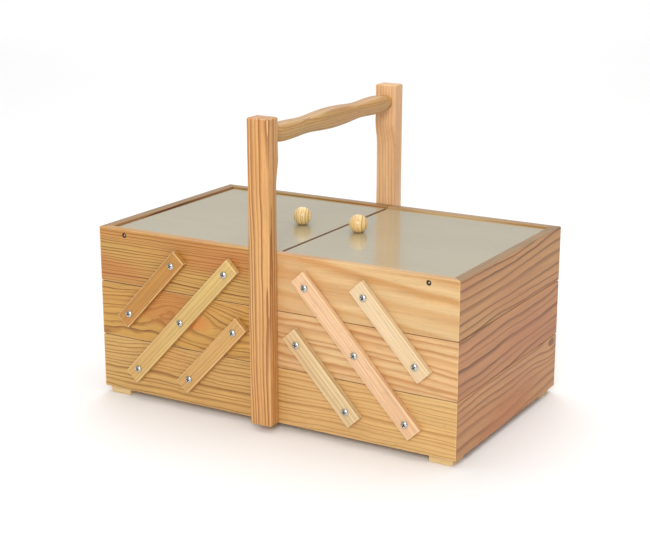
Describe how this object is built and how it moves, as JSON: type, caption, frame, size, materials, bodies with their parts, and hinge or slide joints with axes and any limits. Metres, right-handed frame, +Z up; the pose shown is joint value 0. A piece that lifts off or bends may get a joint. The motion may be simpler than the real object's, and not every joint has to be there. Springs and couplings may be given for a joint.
{
  "type": "sewing box with trays",
  "caption": "Wooden cantilever sewing box: stacked trays swing out sideways on link arms, hinged lids with ball knobs cover the top, and a shaped bar between posts carries it.",
  "frame": {"origin": "on the floor, under the centre of the box, at the bottom of the feet", "axes": "+X to the right along the width, -Y to the front, +Z up"},
  "size_m": [0.4, 0.2636, 0.304],
  "materials": {
    "pine_front": "clear satin varnish over pine with level growth rings",
    "pine_end": "clear satin varnish over pine with slanting growth rings",
    "pine_inner": "sanded pine",
    "plywood": "thin sanded plywood",
    "pine_arm": "clear satin varnish over pale pine",
    "pine_post": "clear satin varnish over pine with long straight grain",
    "laminate": "glossy grey-beige laminate on board",
    "pine_knob": "clear gloss varnish over turned pine",
    "steel_screw": "bright zinc-plated steel",
    "steel_pin": "dark blued steel"
  },
  "bodies": {
    "base": {"base_front": "pine_front", "base_back": "pine_front", "base_end_left": "pine_end", "base_end_right": "pine_end", "base_floor": "plywood", "foot_left_front": "pine_end", "foot_left_back": "pine_end", "foot_right_front": "pine_end", "foot_right_back": "pine_end", "post_front": "pine_post", "post_back": "pine_post", "handle_bar": "pine_post", "base_screw_left_front": "steel_screw", "base_screw_left_back": "steel_screw", "base_screw_right_front": "steel_screw", "base_screw_right_back": "steel_screw"},
    "mid_tray_left": {"mid_left_front": "pine_front", "mid_left_back": "pine_front", "mid_left_inner": "pine_inner", "mid_left_end": "pine_end", "mid_left_floor": "plywood", "mid_screw_left_front": "steel_screw", "mid_screw_left_back": "steel_screw"},
    "top_tray_left": {"top_left_front": "pine_front", "top_left_back": "pine_front", "top_left_inner": "pine_inner", "top_left_end": "pine_end", "top_left_floor": "plywood", "lid_pin_left_front": "steel_pin", "lid_pin_left_back": "steel_pin"},
    "lid_left": {"lid_left": "laminate", "knob_left": "pine_knob"},
    "long_arms_left": {"long_arm_left_front": "pine_arm", "long_arm_left_back": "pine_arm"},
    "lower_arms_left": {"lower_arm_left_front": "pine_arm", "lower_arm_left_back": "pine_arm"},
    "upper_arms_left": {"upper_arm_left_front": "pine_arm", "upper_arm_left_back": "pine_arm"},
    "mid_tray_right": {"mid_right_front": "pine_front", "mid_right_back": "pine_front", "mid_right_inner": "pine_inner", "mid_right_end": "pine_end", "mid_right_floor": "plywood", "mid_screw_right_front": "steel_screw", "mid_screw_right_back": "steel_screw"},
    "top_tray_right": {"top_right_front": "pine_front", "top_right_back": "pine_front", "top_right_inner": "pine_inner", "top_right_end": "pine_end", "top_right_floor": "plywood", "lid_pin_right_front": "steel_pin", "lid_pin_right_back": "steel_pin"},
    "lid_right": {"lid_right": "laminate", "knob_right": "pine_knob"},
    "long_arms_right": {"long_arm_right_front": "pine_arm", "long_arm_right_back": "pine_arm"},
    "lower_arms_right": {"lower_arm_right_front": "pine_arm", "lower_arm_right_back": "pine_arm"},
    "upper_arms_right": {"upper_arm_right_front": "pine_arm", "upper_arm_right_back": "pine_arm"}
  },
  "joints": [
    {"name": "left_swing", "type": "hinge", "parent": "base", "child": "long_arms_left", "pos_m": [-0.151, 0, 0.0355], "axis": [0, -1, 0], "range_deg": [0, 86.2]},
    {"name": "left_mid_tray_pivot", "type": "hinge", "parent": "long_arms_left", "child": "mid_tray_left", "pos_m": [-0.098, 0, 0.0921], "axis": [0, -1, 0], "range_deg": [-86.2, 0]},
    {"name": "left_top_tray_pivot", "type": "hinge", "parent": "long_arms_left", "child": "top_tray_left", "pos_m": [-0.045, 0, 0.1487], "axis": [0, -1, 0], "range_deg": [-86.2, 0]},
    {"name": "left_lower_arm_pivot", "type": "hinge", "parent": "base", "child": "lower_arms_left", "pos_m": [-0.0888, 0, 0.0355], "axis": [0, -1, 0], "range_deg": [0, 86.2]},
    {"name": "left_upper_arm_pivot", "type": "hinge", "parent": "mid_tray_left", "child": "upper_arms_left", "pos_m": [-0.1602, 0, 0.0921], "axis": [0, -1, 0], "range_deg": [0, 86.2]},
    {"name": "left_lid_hinge", "type": "hinge", "parent": "top_tray_left", "child": "lid_left", "pos_m": [-0.169, 0, 0.1702], "axis": [0, -1, 0], "range_deg": [0, 145]},
    {"name": "right_swing", "type": "hinge", "parent": "base", "child": "long_arms_right", "pos_m": [0.151, 0, 0.0355], "axis": [0, 1, 0], "range_deg": [0, 86.2]},
    {"name": "right_mid_tray_pivot", "type": "hinge", "parent": "long_arms_right", "child": "mid_tray_right", "pos_m": [0.098, 0, 0.0921], "axis": [0, 1, 0], "range_deg": [-86.2, 0]},
    {"name": "right_top_tray_pivot", "type": "hinge", "parent": "long_arms_right", "child": "top_tray_right", "pos_m": [0.045, 0, 0.1487], "axis": [0, 1, 0], "range_deg": [-86.2, 0]},
    {"name": "right_lower_arm_pivot", "type": "hinge", "parent": "base", "child": "lower_arms_right", "pos_m": [0.0888, 0, 0.0355], "axis": [0, 1, 0], "range_deg": [0, 86.2]},
    {"name": "right_upper_arm_pivot", "type": "hinge", "parent": "mid_tray_right", "child": "upper_arms_right", "pos_m": [0.1602, 0, 0.0921], "axis": [0, 1, 0], "range_deg": [0, 86.2]},
    {"name": "right_lid_hinge", "type": "hinge", "parent": "top_tray_right", "child": "lid_right", "pos_m": [0.169, 0, 0.1702], "axis": [0, 1, 0], "range_deg": [0, 145]}
  ],
  "couplings": [
    {"joint": "left_mid_tray_pivot", "follows": "left_swing", "ratio": -1},
    {"joint": "left_top_tray_pivot", "follows": "left_swing", "ratio": -1},
    {"joint": "left_lower_arm_pivot", "follows": "left_swing", "ratio": 1},
    {"joint": "left_upper_arm_pivot", "follows": "left_swing", "ratio": 1},
    {"joint": "right_mid_tray_pivot", "follows": "right_swing", "ratio": -1},
    {"joint": "right_top_tray_pivot", "follows": "right_swing", "ratio": -1},
    {"joint": "right_lower_arm_pivot", "follows": "right_swing", "ratio": 1},
    {"joint": "right_upper_arm_pivot", "follows": "right_swing", "ratio": 1}
  ]
}
